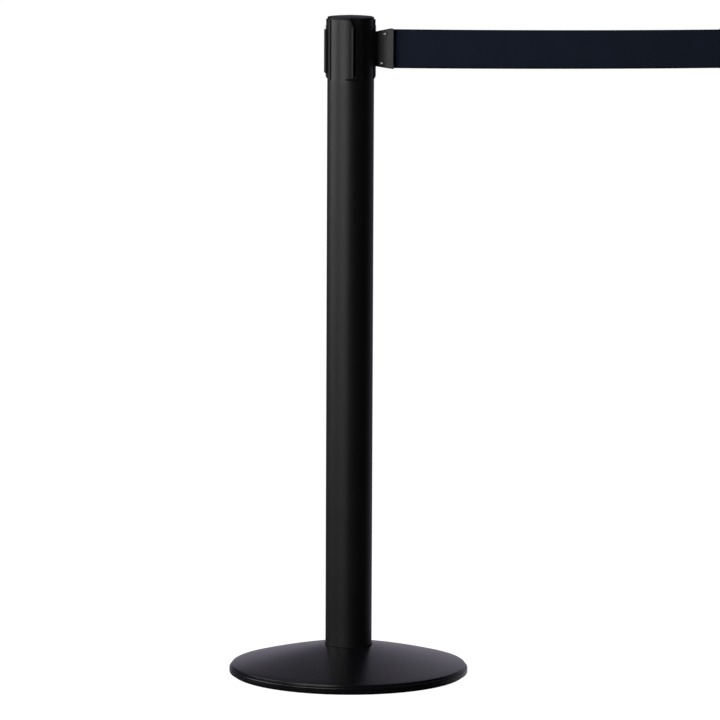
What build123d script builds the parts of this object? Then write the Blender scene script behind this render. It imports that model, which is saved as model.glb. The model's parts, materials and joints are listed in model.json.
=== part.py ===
from build123d import *

import math
import os

# Retractable belt stanchion.
# Frame: millimetres, origin on the floor at the tube's axis, +Z up.
# +X points along the plugged-in belt, -Y to the empty receiver, +Y to the post's own belt.

# ---- floor ring, cover, weight ----
BASE_R = 162.0
FLOOR_RING_H = 3.0
FLOOR_RING_W = 11.0
FLOOR_RING_INSET = 4.5
COVER_T = 1.5
COVER_SKIRT_TOP = 9.6
COVER_RIM_Z = 13.2
COVER_RIM_INSET = 3.0
COVER_TOP_Z = 40.0
COVER_FLAT_MARGIN = 3.5
COVER_CROWN = 1.7
COVER_HOLE_R = 7.0
WEIGHT_GAP = 0.8
WEIGHT_FOOT_W = 12.0
WEIGHT_RECESS_H = 4.0
WEIGHT_POCKET_GAP = 5.0
WEIGHT_POCKET_TOP = 20.0

# ---- centre bolt ----
BOLT_R = 6.0
BOLT_HEAD_AF = 19.0
BOLT_HEAD_H = 7.5
BOLT_LENGTH = 40.0
BOLT_FIT = 0.1
WASHER_R = 15.0
WASHER_T = 2.5
LOCK_WASHER_R = 10.5
LOCK_WASHER_T = 2.5
LOCK_WASHER_GAP = 1.5

# ---- tube ----
TUBE_R = 31.5
TUBE_T = 1.5
TUBE_LENGTH = 766.8
GASKET_T = 1.2
GASKET_W = 6.0
GASKET_PROUD = 0.6
PLUG_H = 16.0
SPIGOT_GAP = 0.1
SPIGOT_T = 3.0
SPIGOT_H = 20.0
HEAD_FLOOR_T = 3.0
GRUB_R = 2.0
GRUB_FIT = 0.05
GRUB_COUNT = 3
GRUB_FIRST_DEG = 30.0
GRUB_PITCH_DEG = 60.0
GRUB_DROP = 10.0

# ---- head shell and lid ----
HEAD_OVER_BELT_W = 31.2
HEAD_T = 3.0
LID_SIDE_H = 2.7
LID_CROWN = 1.6
LID_GROOVE = 0.6
LID_EDGE_R = 1.2
LID_PLUG_H = 3.0
LID_PLUG_GAP = 1.4
LID_SCREW_R = 2.5
LID_SCREW_HEAD_R = 5.0
LID_SCREW_HEAD_H = 2.6
LID_SCREW_SUNK = 0.8
LID_SCREW_LENGTH = 16.0
LID_SCREW_HEX_AF = 3.0
LID_SCREW_HEX_LEFT = 1.0

# ---- belt and clip ----
BELT_W = 52.5
BELT_T = 0.5
BELT_UNDER_HEAD_TOP = 14.65
BELT_PULL = 2000.0
CLIP_HEAD_OVER_BELT_W = 4.9
CLIP_HEAD_W = 11.0
CLIP_HEAD_T = 3.9
CLIP_HEAD_DROP = 2.9
CLIP_NECK_T = 3.2
CLIP_NECK_UNDER_BELT_W = 5.3
CLIP_END_OVER_BELT_W = 1.3
CLIP_BODY_L = 24.2
CLIP_END_T = 17.0
CLIP_FLARE_START = 4.0
CLIP_FLARE_SAG = 1.6
CLIP_BULGE = 0.35
CLIP_SLOT_GAP = 0.2
CLIP_POCKET_GAP = 0.25
CLIP_CORNER_R = 0.8
PIN_R = 1.6
PIN_FROM_NECK = 18.2
PIN_END_GAP = 4.0
HEM_FIT = 0.05
RIVET_R = 1.6
RIVET_HEAD_R = 2.5
RIVET_HEAD_H = 1.0
RIVET_SEAT_Y = 2.0
RIVET_SEAT_FIT = 0.4
RIVET_TOP_FROM_NECK = 13.4
RIVET_TOP_FROM_EDGE = 6.25
RIVET_LOW_FROM_NECK = 9.1
RIVET_LOW_FROM_EDGE = 6.85

# ---- receivers ----
BOSS_PROUD = 1.7
PAD_SIDE_W = 4.5
PAD_EDGE = 0.5
PAD_TAPER_H = 2.2
RECEIVER_SIDE_T = 1.5
RECEIVER_LIP_T = 2.0
RECEIVER_BACK_T = 1.7
RECEIVER_SIDE_GAP = 0.5
RECEIVER_FACE_GAP = 0.35
RECEIVER_SLIT_GAP = 0.5
RECEIVER_FIT = 0.1
RECEIVER_FOOT = 2.8
RECEIVER_LEDGE_GAP = 0.3
RECEIVER_SLIT_DROP = 2.0
RECEIVER_LEAD_H = 8.7
RECEIVER_RIB_W = 2.9
RECEIVER_RIB_H = 0.6
RECEIVER_RIB_SLOPE_W = 2.0
RECEIVER_TOP_GAP = 0.3
BLANK_PLATE_T = 1.3
BLANK_PLATE_OVERLAP = 0.5
BLANK_PLATE_GAP = 0.3
BLANK_PLATE_RISE = 1.1
BLANK_PLATE_LIFT = 0.2
LIFT_NOTCH_GAP = 0.6

# ---- mouth and rollers ----
MOUTH_PROUD = 1.3
MOUTH_SLIT_W = 3.0
MOUTH_WALL_T = 1.5
MOUTH_LIP_T = 3.0
ROLLER_R = 2.6
ROLLER_PIN_R = 1.0
ROLLER_FIT = 0.05
ROLLER_BELT_GAP = 0.05
ROLLER_FROM_LIP = 3.0
ROLLER_END_GAP = 0.4
MOUTH_EDGE_GAP = 1.2
MOUTH_CLIP_GAP = 0.8

# ---- cassette and reel ----
PLATE_T = 2.5
PLATE_GAP = 0.3
SHAFT_R = 4.0
SHAFT_SLOT_W = 1.0
SHAFT_TOP_GAP = 0.2
REEL_GAP = 1.1
FLANGE_T = 1.5
FLANGE_SIDE_GAP = 0.5
CORE_R = 14.0
CORE_T = 2.0
CORE_END_T = 6.0
BUSH_T = 3.0
BUSH_FIT = 0.05
SPRING_CUP_GAP = 0.7
SPRING_CUP_T = 1.2
SPRING_CUP_HOLE_GAP = 2.0
SPRING_T = 0.5
SPRING_TURNS = 7
SPRING_END_GAP = 0.6
SPRING_IN_GAP = 0.8
ANCHOR_PIN_R = 0.7
ANCHOR_PIN_DEG = 200.0
CLIP_RING_W = 2.5
CLIP_RING_T = 1.0
CLIP_RING_GROOVE = 0.6
CLIP_RING_LIFT = 0.5
CLIP_RING_MOUTH = 4.8
PILLAR_R = 1.6
PILLAR_COUNT = 4
PILLAR_FIRST_DEG = 45.0
PILLAR_INSET = 0.3
SCREW_R = 0.8
SCREW_HEAD_R = 1.4
SCREW_HEAD_H = 1.0
SCREW_LENGTH = 6.0

# ---- plugged-in belt ----
LINK_LENGTH = 452.0
LINK_SAG = 1.2
LINK_DROP = 4.7

# ---- how far a cutting tool reaches past what it cuts ----
CUT_MARGIN = 1.0

# ---- worked-out levels and radii ----
COVER_FLAT_R = TUBE_R + COVER_FLAT_MARGIN
WEIGHT_POCKET_R = WASHER_R + WEIGHT_POCKET_GAP
GASKET_Z = COVER_TOP_Z
TUBE_Z = GASKET_Z + GASKET_T
HEAD_Z = TUBE_Z + TUBE_LENGTH
HEAD_TOP_Z = HEAD_Z + BELT_W + HEAD_OVER_BELT_W
LID_EDGE_Z = HEAD_TOP_Z + LID_SIDE_H
TUBE_BORE_R = TUBE_R - TUBE_T
SPIGOT_R = TUBE_BORE_R - SPIGOT_GAP
HEAD_BORE_R = TUBE_R - HEAD_T
GRUB_Z = HEAD_Z - GRUB_DROP

BELT_HIGH_Z = HEAD_TOP_Z - BELT_UNDER_HEAD_TOP
BELT_LOW_Z = BELT_HIGH_Z - BELT_W
BELT_MID_Z = (BELT_LOW_Z + BELT_HIGH_Z) / 2

CLIP_HEAD_H = BELT_W + CLIP_HEAD_OVER_BELT_W
CLIP_NECK_H = BELT_W - CLIP_NECK_UNDER_BELT_W
CLIP_END_H = BELT_W + CLIP_END_OVER_BELT_W
CLIP_HEAD_Z = BELT_MID_Z - CLIP_HEAD_DROP
CLIP_HEAD_LOW = CLIP_HEAD_Z - CLIP_HEAD_H / 2
CLIP_HEAD_HIGH = CLIP_HEAD_Z + CLIP_HEAD_H / 2
CLIP_SLOT_T = BELT_T + CLIP_SLOT_GAP
HEM_R = PIN_R + HEM_FIT
CLIP_POCKET_R = HEM_R + BELT_T + CLIP_POCKET_GAP

BOSS_R = TUBE_R + BOSS_PROUD
CHANNEL_OUT_R = BOSS_R - RECEIVER_LIP_T
CHANNEL_IN_R = CHANNEL_OUT_R - CLIP_HEAD_T - 2 * RECEIVER_FACE_GAP
CHANNEL_W = CLIP_HEAD_W + 2 * RECEIVER_SIDE_GAP
RECEIVER_IN_R = CHANNEL_IN_R - RECEIVER_BACK_T
RECEIVER_W = CHANNEL_W + 2 * RECEIVER_SIDE_T
RECEIVER_SLIT_W = CLIP_NECK_T + 2 * RECEIVER_SLIT_GAP
PAD_W = RECEIVER_W + 2 * PAD_SIDE_W
CHANNEL_FLOOR_Z = CLIP_HEAD_LOW - RECEIVER_LEDGE_GAP
RECEIVER_LOW_Z = HEAD_Z + RECEIVER_FOOT
RECEIVER_HIGH_Z = HEAD_TOP_Z - RECEIVER_TOP_GAP
CLIP_HEAD_IN_R = CHANNEL_IN_R + RECEIVER_FACE_GAP
CLIP_HEAD_OUT_R = CLIP_HEAD_IN_R + CLIP_HEAD_T
CLIP_END_R = BOSS_R + CLIP_BODY_L
PIN_X = BOSS_R + PIN_FROM_NECK
BLANK_PLATE_W = CHANNEL_W + 2 * BLANK_PLATE_OVERLAP

MOUTH_FACE_R = BOSS_R + MOUTH_PROUD
MOUTH_LIP_R = MOUTH_FACE_R - MOUTH_LIP_T
ROLLER_Y = MOUTH_LIP_R - ROLLER_FROM_LIP
ROLLER_X = ROLLER_R + ROLLER_BELT_GAP + BELT_T / 2
ROLLER_LOW_Z = BELT_LOW_Z - MOUTH_EDGE_GAP
ROLLER_HIGH_Z = BELT_HIGH_Z + MOUTH_EDGE_GAP
OWN_CLIP_Y = MOUTH_FACE_R + MOUTH_CLIP_GAP

FLANGE_R = RECEIVER_IN_R - REEL_GAP
FLANGE_LOW_Z = BELT_LOW_Z - FLANGE_SIDE_GAP - FLANGE_T
FLANGE_HIGH_Z = BELT_HIGH_Z + FLANGE_SIDE_GAP
FLANGE_TOP_Z = FLANGE_HIGH_Z + FLANGE_T
BUSH_R = SHAFT_R + BUSH_T
CASSETTE_Z = HEAD_Z
SPRING_CUP_LOW_Z = CASSETTE_Z + PLATE_T + SPRING_CUP_GAP
SPRING_CUP_HOLE_R = SHAFT_R + SPRING_CUP_HOLE_GAP
LID_PLUG_R = RECEIVER_IN_R - LID_PLUG_GAP
LID_PLUG_Z = HEAD_TOP_Z - LID_PLUG_H
SHAFT_TOP_Z = LID_PLUG_Z - SHAFT_TOP_GAP
CASSETTE_TOP_Z = SHAFT_TOP_Z - PLATE_T
WOUND_R = math.sqrt(CORE_R**2 + BELT_PULL * BELT_T / math.pi)
PILLAR_PATH_R = HEAD_BORE_R - PILLAR_INSET - PILLAR_R

nodes = {}


def add(name, *solids):
    """Keep the solids of one sub-part under its node name."""
    nodes[name] = Compound(children=[solid for item in solids for solid in item.solids()])


def disc(radius, low, high, x=0.0, y=0.0):
    """Upright cylinder from one level to another."""
    return Pos(x, y, (low + high) / 2) * Cylinder(radius, high - low)


def ring(outer, inner, low, high, x=0.0, y=0.0):
    """Upright tube from one level to another."""
    bore = disc(inner, low - CUT_MARGIN, high + CUT_MARGIN, x, y)
    return disc(outer, low, high, x, y) - bore


def block(low_x, high_x, low_y, high_y, low_z, high_z):
    """Box given by its two corners."""
    centre = Pos((low_x + high_x) / 2, (low_y + high_y) / 2, (low_z + high_z) / 2)
    return centre * Box(high_x - low_x, high_y - low_y, high_z - low_z)


def turned(points_face):
    """Solid of revolution about the post's axis from a face in the XZ plane."""
    return revolve(points_face, Axis.Z)


def hexagon(across_flats, low, high):
    """Upright hexagonal bar on the axis."""
    profile = RegularPolygon(across_flats / 2, 6, major_radius=False)
    return Pos(0, 0, low) * extrude(profile, high - low)


def polar(radius, degrees):
    """Plan coordinates of a point given by radius and angle."""
    angle = math.radians(degrees)
    return radius * math.cos(angle), radius * math.sin(angle)


# ---------------------------------------------------------------- base

def cover_height(radius, drop=0.0):
    """Level of the cover's dome at a radius, lowered by drop."""
    span = BASE_R - COVER_RIM_INSET - COVER_FLAT_R
    share = (BASE_R - COVER_RIM_INSET - radius) / span
    chord = COVER_RIM_Z + (COVER_TOP_Z - COVER_RIM_Z) * share
    return chord + 4 * COVER_CROWN * share * (1 - share) - drop


def dome_edge(inner_r, outer_r, drop):
    """Arc of the dome's section between two radii, as an edge in the XZ plane."""
    middle = (inner_r + outer_r) / 2
    points = [(r, 0, cover_height(r, drop)) for r in (inner_r, middle, outer_r)]
    return ThreePointArc(*points)


def base_cover():
    rim_r = BASE_R - COVER_RIM_INSET
    skirt_in = BASE_R - COVER_T
    outer_dome = dome_edge(COVER_FLAT_R, rim_r, 0)
    inner_dome = dome_edge(COVER_FLAT_R, rim_r - COVER_T, COVER_T)
    bead_top = (rim_r + COVER_T / 2, 0, COVER_RIM_Z + COVER_T / 4)
    bead_side = (BASE_R - COVER_T / 3, 0, COVER_SKIRT_TOP + COVER_RIM_INSET * 2 / 3)
    top_in = (COVER_HOLE_R, 0, COVER_TOP_Z)
    low_in = (COVER_HOLE_R, 0, COVER_TOP_Z - COVER_T)
    edges = [
        Line(low_in, top_in),
        Line(top_in, outer_dome @ 0),
        outer_dome,
        Line(outer_dome @ 1, bead_top),
        ThreePointArc(bead_top, bead_side, (BASE_R, 0, COVER_SKIRT_TOP)),
        Line((BASE_R, 0, COVER_SKIRT_TOP), (BASE_R, 0, FLOOR_RING_H)),
        Line((BASE_R, 0, FLOOR_RING_H), (skirt_in, 0, FLOOR_RING_H)),
        Line((skirt_in, 0, FLOOR_RING_H), (skirt_in, 0, COVER_SKIRT_TOP)),
        Line((skirt_in, 0, COVER_SKIRT_TOP), inner_dome @ 1),
        inner_dome,
        Line(inner_dome @ 0, low_in),
    ]
    return turned(make_face(edges))


def base_weight():
    outer_r = BASE_R - COVER_T - WEIGHT_GAP
    dome_r = BASE_R - COVER_RIM_INSET - COVER_T - WEIGHT_GAP
    drop = COVER_T + WEIGHT_GAP
    seat_z = COVER_TOP_Z - COVER_T
    dome = dome_edge(COVER_FLAT_R, dome_r, drop)
    recess_r = outer_r - WEIGHT_FOOT_W
    recess_z = FLOOR_RING_H + WEIGHT_RECESS_H
    shoulder_z = COVER_SKIRT_TOP - WEIGHT_GAP
    points = [
        dome @ 1,
        (outer_r, 0, shoulder_z),
        (outer_r, 0, FLOOR_RING_H),
        (recess_r, 0, FLOOR_RING_H),
        (recess_r, 0, recess_z),
        (WEIGHT_POCKET_R, 0, recess_z),
        (WEIGHT_POCKET_R, 0, WEIGHT_POCKET_TOP),
        (BOLT_R + BOLT_FIT, 0, WEIGHT_POCKET_TOP),
        (BOLT_R + BOLT_FIT, 0, seat_z),
        (COVER_FLAT_R - COVER_T, 0, seat_z),
        dome @ 0,
    ]
    return turned(make_face([dome, Polyline(*points)]))


def floor_ring():
    outer_r = BASE_R - FLOOR_RING_INSET
    return ring(outer_r, outer_r - FLOOR_RING_W, 0, FLOOR_RING_H)


def base_bolt():
    washer_low = WEIGHT_POCKET_TOP - WASHER_T
    seat = washer_low - LOCK_WASHER_T
    head = hexagon(BOLT_HEAD_AF, seat - BOLT_HEAD_H, seat)
    shank = disc(BOLT_R, seat, seat + BOLT_LENGTH)
    return head + chamfer(shank.edges().group_by(Axis.Z)[-1], BOLT_R / 4)


def lock_washer():
    high = WEIGHT_POCKET_TOP - WASHER_T
    low = high - LOCK_WASHER_T
    body = ring(LOCK_WASHER_R, BOLT_R + BOLT_FIT, low, high)
    half = LOCK_WASHER_GAP / 2
    return body - block(0, LOCK_WASHER_R + CUT_MARGIN, -half, half, low - CUT_MARGIN, high + CUT_MARGIN)


def build_base():
    add("floor_ring", floor_ring())
    add("base_cover", base_cover())
    add("base_weight", base_weight())
    add("base_bolt", base_bolt())
    washer_low = WEIGHT_POCKET_TOP - WASHER_T
    add("base_washer", ring(WASHER_R, BOLT_R + BOLT_FIT, washer_low, WEIGHT_POCKET_TOP))
    add("base_lock_washer", lock_washer())


# ---------------------------------------------------------------- tube

def grub_angles():
    return [GRUB_FIRST_DEG + GRUB_PITCH_DEG * i for i in range(GRUB_COUNT)]


def radial_rods(radius, inner, outer):
    """Level rods through the tube wall at each grub screw."""
    rod = Pos((inner + outer) / 2, 0, GRUB_Z) * Rot(0, 90, 0) * Cylinder(radius, outer - inner)
    return [Rot(0, 0, angle) * rod for angle in grub_angles()]


def build_tube():
    gasket_r = TUBE_R + GASKET_PROUD
    gasket = ring(gasket_r, gasket_r - GASKET_W, GASKET_Z, TUBE_Z)
    rims = gasket.edges().filter_by(GeomType.CIRCLE).group_by(SortBy.RADIUS)[-1]
    add("tube_gasket", fillet(rims, GASKET_T / 3))
    tube = ring(TUBE_R, TUBE_BORE_R, TUBE_Z, HEAD_Z)
    for rod in radial_rods(GRUB_R + GRUB_FIT, SPIGOT_R, TUBE_R + CUT_MARGIN):
        tube -= rod
    add("post_tube", tube)
    add("tube_plug", ring(TUBE_BORE_R, BOLT_R + BOLT_FIT, TUBE_Z, TUBE_Z + PLUG_H))


# ---------------------------------------------------------------- head

def notch(width, inner_r, low, high, angle):
    """Radial box from inner_r outwards, turned to an angle about the axis."""
    reach = BOSS_R + CUT_MARGIN
    return Rot(0, 0, angle) * block(inner_r, reach, -width / 2, width / 2, low, high)


FRONT, LEFT, RIGHT, REAR = -90.0, 180.0, 0.0, 90.0


def head_shell():
    floor_low = HEAD_Z - HEAD_FLOOR_T
    spigot_low = HEAD_Z - SPIGOT_H
    body = ring(TUBE_R, HEAD_BORE_R, HEAD_Z, HEAD_TOP_Z)
    body += ring(SPIGOT_R, SPIGOT_R - SPIGOT_T, spigot_low, HEAD_Z)
    body += disc(SPIGOT_R, floor_low, HEAD_Z)
    window = RECEIVER_W + 2 * RECEIVER_FIT
    for angle in (FRONT, LEFT, RIGHT, REAR):
        body -= notch(window, RECEIVER_IN_R, RECEIVER_LOW_Z, HEAD_TOP_Z + CUT_MARGIN, angle)
    reach = (SPIGOT_R - SPIGOT_T - CUT_MARGIN, SPIGOT_R + CUT_MARGIN)
    for rod in radial_rods(GRUB_R + GRUB_FIT, *reach):
        body -= rod
    return body


def pad(face_r):
    """Raised face outside the shell, pointing along +X, with a taper at its foot."""
    low = RECEIVER_LOW_Z
    outline = Polyline(
        (TUBE_R, 0, low),
        (face_r, 0, low + PAD_TAPER_H),
        (face_r, 0, RECEIVER_HIGH_Z),
        (TUBE_R, 0, RECEIVER_HIGH_Z),
        close=True,
    )
    half = PAD_W / 2
    body = turned(make_face(outline)) & block(0, BOSS_R + CUT_MARGIN, -half, half, 0, HEAD_TOP_Z)
    corners = body.edges().filter_by(Axis.Z).sort_by(lambda edge: edge.center().X)[-2:]
    return fillet(corners, PAD_EDGE)


def core_block(low_z, high_z):
    """Part of a receiver or mouth that reaches through the shell's window."""
    half = RECEIVER_W / 2
    body = block(RECEIVER_IN_R, BOSS_R, -half, half, low_z, high_z)
    return body & disc(TUBE_R + RECEIVER_FIT, low_z - CUT_MARGIN, high_z + CUT_MARGIN)


def rib_pair(half, low, high):
    """Low ribs on both sides of the slit, sloping outwards, as one bar before the slit is cut."""
    top = half - RECEIVER_RIB_SLOPE_W
    out = BOSS_R + RECEIVER_RIB_H
    plan = Polyline(
        (CHANNEL_OUT_R, -half),
        (BOSS_R, -half),
        (out, -top),
        (out, top),
        (BOSS_R, half),
        (CHANNEL_OUT_R, half),
        close=True,
    )
    bar = Pos(0, 0, low) * extrude(make_face(plan), high - low)
    end = bar.faces().sort_by(Axis.X)[-1].edges().group_by(Axis.Z)
    return chamfer(end[0] + end[-1], RECEIVER_RIB_H / 2)


def receiver():
    """Receiver insert pointing along +X: a T channel behind two lips."""
    body = core_block(RECEIVER_LOW_Z, RECEIVER_HIGH_Z) + pad(BOSS_R)
    rib = RECEIVER_SLIT_W / 2 + RECEIVER_RIB_W
    slit_end = CHANNEL_FLOOR_Z - RECEIVER_SLIT_DROP
    lead_z = RECEIVER_HIGH_Z - RECEIVER_LEAD_H
    rib_low = slit_end - RECEIVER_RIB_W
    body += rib_pair(rib, rib_low, lead_z)
    top = RECEIVER_HIGH_Z + CUT_MARGIN
    channel = CHANNEL_W / 2
    body -= block(CHANNEL_IN_R, CHANNEL_OUT_R, -channel, channel, CHANNEL_FLOOR_Z, top)
    slit = RECEIVER_SLIT_W / 2
    out = BOSS_R + RECEIVER_RIB_H + CUT_MARGIN
    body -= block(CHANNEL_IN_R, out, -slit, slit, slit_end + slit, top)
    round_end = Pos((CHANNEL_IN_R + out) / 2, 0, slit_end + slit) * Rot(0, 90, 0)
    body -= round_end * Cylinder(slit, out - CHANNEL_IN_R)
    lead = Polyline(
        (0, slit, lead_z),
        (0, channel, RECEIVER_HIGH_Z),
        (0, channel, top),
        (0, -channel, top),
        (0, -channel, RECEIVER_HIGH_Z),
        (0, -slit, lead_z),
        close=True,
    )
    body -= Pos(CHANNEL_OUT_R, 0, 0) * extrude(make_face(lead), out - CHANNEL_OUT_R, dir=(1, 0, 0))
    return body


def mouth_block():
    """Rear exit block, built pointing along +X and turned to +Y later."""
    half = RECEIVER_W / 2
    low = ROLLER_LOW_Z - PIN_END_GAP
    high = ROLLER_HIGH_Z + PIN_END_GAP
    nose = block(RECEIVER_IN_R, MOUTH_FACE_R, -half, half, low, high)
    nose = fillet(nose.edges().filter_by(Axis.Z).group_by(Axis.X)[-1], MOUTH_LIP_T / 2)
    body = core_block(RECEIVER_LOW_Z, RECEIVER_HIGH_Z) + pad(BOSS_R) + nose
    inner = half - MOUTH_WALL_T
    start = RECEIVER_IN_R - CUT_MARGIN
    body -= block(start, MOUTH_LIP_R, -inner, inner, ROLLER_LOW_Z, ROLLER_HIGH_Z)
    slit = MOUTH_SLIT_W / 2
    end = MOUTH_FACE_R + CUT_MARGIN
    body -= block(start, end, -slit, slit, ROLLER_LOW_Z, ROLLER_HIGH_Z)
    for side in (-1, 1):
        pin = (ROLLER_Y, side * ROLLER_X)
        body -= disc(ROLLER_PIN_R, low, high, *pin)
    return body


def roller(side):
    low = ROLLER_LOW_Z + ROLLER_END_GAP
    high = ROLLER_HIGH_Z - ROLLER_END_GAP
    return ring(ROLLER_R, ROLLER_PIN_R + ROLLER_FIT, low, high, side * ROLLER_X, ROLLER_Y)


def lid_profile():
    """Section of the lid in the XZ plane, with its groove at the seam and its low crown."""
    edge_low = LID_EDGE_Z - LID_EDGE_R
    flat_r = TUBE_R - LID_EDGE_R
    apex = (0, 0, LID_EDGE_Z + LID_CROWN)
    groove_r = TUBE_R - LID_GROOVE
    corner = LID_EDGE_R * (1 - math.sqrt(0.5))
    points = [
        apex,
        (0, 0, LID_PLUG_Z),
        (LID_PLUG_R, 0, LID_PLUG_Z),
        (LID_PLUG_R, 0, HEAD_TOP_Z),
        (groove_r, 0, HEAD_TOP_Z),
        (groove_r, 0, HEAD_TOP_Z + LID_GROOVE),
        (TUBE_R, 0, HEAD_TOP_Z + 2 * LID_GROOVE),
        (TUBE_R, 0, edge_low),
    ]
    rounded = ThreePointArc(
        (TUBE_R, 0, edge_low),
        (TUBE_R - corner, 0, LID_EDGE_Z - corner),
        (flat_r, 0, LID_EDGE_Z),
    )
    crown_mid = (flat_r / 2, 0, LID_EDGE_Z + LID_CROWN * 3 / 4)
    crown = ThreePointArc((flat_r, 0, LID_EDGE_Z), crown_mid, apex)
    return make_face([Polyline(*points), rounded, crown])


def lid_screw_head_z():
    return LID_EDGE_Z + LID_CROWN - LID_SCREW_SUNK


def head_lid():
    body = turned(lid_profile())
    width = CHANNEL_W + 2 * (LIFT_NOTCH_GAP - RECEIVER_SIDE_GAP)
    low = LID_PLUG_Z - CUT_MARGIN
    high = LID_EDGE_Z + LID_CROWN + CUT_MARGIN
    for angle in (FRONT, LEFT, RIGHT):
        body -= notch(width, CHANNEL_IN_R, low, high, angle)
    top = lid_screw_head_z()
    body -= disc(LID_SCREW_R + BOLT_FIT, low, high)
    body -= disc(LID_SCREW_HEAD_R + BOLT_FIT, top - LID_SCREW_HEAD_H, high)
    return body


def lid_screw():
    top = lid_screw_head_z()
    low = top - LID_SCREW_HEAD_H
    body = disc(LID_SCREW_HEAD_R, low, top) + disc(LID_SCREW_R, low - LID_SCREW_LENGTH, low)
    return body - hexagon(LID_SCREW_HEX_AF, low + LID_SCREW_HEX_LEFT, top + CUT_MARGIN)


def build_head():
    add("head_shell", head_shell())
    screws = radial_rods(GRUB_R, SPIGOT_R - SPIGOT_T, TUBE_R - GRUB_FIT)
    add("head_grub_screws", *screws)
    insert = receiver()
    add("receiver_front", Rot(0, 0, FRONT) * insert)
    add("receiver_left", Rot(0, 0, LEFT) * insert)
    add("receiver_right", Rot(0, 0, RIGHT) * insert)
    add("mouth_block", Rot(0, 0, REAR) * mouth_block())
    add("head_lid", head_lid())
    add("lid_screw", lid_screw())
    low = ROLLER_LOW_Z - PIN_END_GAP
    high = ROLLER_HIGH_Z + PIN_END_GAP
    pins = [disc(ROLLER_PIN_R, low, high, side * ROLLER_X, ROLLER_Y) for side in (-1, 1)]
    add("mouth_roller_pins", *pins)
    add("mouth_roller_belt_side", roller(1))
    add("mouth_roller_free_side", roller(-1))


# ---------------------------------------------------------------- cassette and reel

def pillar_places():
    step = 360.0 / PILLAR_COUNT
    return [polar(PILLAR_PATH_R, PILLAR_FIRST_DEG + step * i) for i in range(PILLAR_COUNT)]


def cassette_plate(low, centre_r):
    """Round plate cut back at the receivers and the mouth."""
    high = low + PLATE_T
    plate = disc(HEAD_BORE_R - PLATE_GAP, low, high)
    width = RECEIVER_W + 2 * PLATE_GAP
    for angle in (FRONT, LEFT, RIGHT, REAR):
        plate -= notch(width, RECEIVER_IN_R - PLATE_GAP, low - CUT_MARGIN, high + CUT_MARGIN, angle)
    plate -= disc(centre_r, low - CUT_MARGIN, high + CUT_MARGIN)
    for x, y in pillar_places():
        plate -= disc(SCREW_R, low - CUT_MARGIN, high + CUT_MARGIN, x, y)
    return plate


def cassette_screws():
    base_top = CASSETTE_Z + PLATE_T
    screws = []
    for x, y in pillar_places():
        up = disc(SCREW_R, CASSETTE_Z, base_top + SCREW_LENGTH, x, y)
        high = CASSETTE_TOP_Z + PLATE_T
        down = disc(SCREW_R, CASSETTE_TOP_Z - SCREW_LENGTH, high - SCREW_HEAD_H, x, y)
        down += disc(SCREW_HEAD_R, high - SCREW_HEAD_H, high, x, y)
        screws += [up, down]
    return screws


def cassette_pillars():
    base_top = CASSETTE_Z + PLATE_T
    pillars = []
    for x, y in pillar_places():
        pillar = disc(PILLAR_R, base_top, CASSETTE_TOP_Z, x, y)
        pillar -= disc(SCREW_R, base_top - CUT_MARGIN, base_top + SCREW_LENGTH, x, y)
        pillar -= disc(SCREW_R, CASSETTE_TOP_Z - SCREW_LENGTH, CASSETTE_TOP_Z + CUT_MARGIN, x, y)
        pillars.append(pillar)
    return pillars


def cassette_top():
    plate = cassette_plate(CASSETTE_TOP_Z, SHAFT_R)
    high = CASSETTE_TOP_Z + PLATE_T
    for x, y in pillar_places():
        plate -= disc(SCREW_HEAD_R, high - SCREW_HEAD_H, high + CUT_MARGIN, x, y)
    return plate


def shaft_ring_z():
    return FLANGE_TOP_Z + CLIP_RING_LIFT


def reel_shaft():
    """Fixed shaft with a slot for the spring's tang and a groove for its ring."""
    low = CASSETTE_Z
    body = disc(SHAFT_R, low, SHAFT_TOP_Z)
    half = SHAFT_SLOT_W / 2
    slot_low = SPRING_CUP_LOW_Z + SPRING_CUP_T
    body -= block(-SHAFT_R, SHAFT_R, -half, half, slot_low, FLANGE_LOW_Z - SPRING_END_GAP)
    groove = shaft_ring_z()
    body -= ring(SHAFT_R + CUT_MARGIN, SHAFT_R - CLIP_RING_GROOVE, groove, groove + CLIP_RING_T)
    screw_end = lid_screw_head_z() - LID_SCREW_HEAD_H - LID_SCREW_LENGTH
    body -= disc(LID_SCREW_R, screw_end, SHAFT_TOP_Z + CUT_MARGIN)
    return body


def shaft_clip():
    low = shaft_ring_z()
    outer = SHAFT_R + CLIP_RING_W
    high = low + CLIP_RING_T
    body = ring(outer, SHAFT_R - CLIP_RING_GROOVE, low, high)
    half = CLIP_RING_MOUTH / 2
    cut_high = high + CUT_MARGIN
    return body - block(0, outer + CUT_MARGIN, -half, half, low - CUT_MARGIN, cut_high)


def anchor_pin():
    x, y = polar(CORE_R - CORE_T / 2, ANCHOR_PIN_DEG)
    return disc(ANCHOR_PIN_R, BELT_LOW_Z, BELT_HIGH_Z, x, y)


def reel_drum():
    """Hollow core with end webs for the bushes, and its lower flange."""
    low = FLANGE_LOW_Z
    body = disc(FLANGE_R, low, low + FLANGE_T) + disc(CORE_R, low, FLANGE_HIGH_Z)
    body -= disc(CORE_R - CORE_T, low + CORE_END_T, FLANGE_HIGH_Z - CORE_END_T)
    body -= disc(BUSH_R, low - CUT_MARGIN, FLANGE_HIGH_Z + CUT_MARGIN)
    return body - anchor_pin()


def reel_bushes():
    inner = SHAFT_R + BUSH_FIT
    lower = ring(BUSH_R, inner, FLANGE_LOW_Z, FLANGE_LOW_Z + CORE_END_T)
    upper = ring(BUSH_R, inner, FLANGE_HIGH_Z - CORE_END_T, FLANGE_TOP_Z)
    return [lower, upper]


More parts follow.
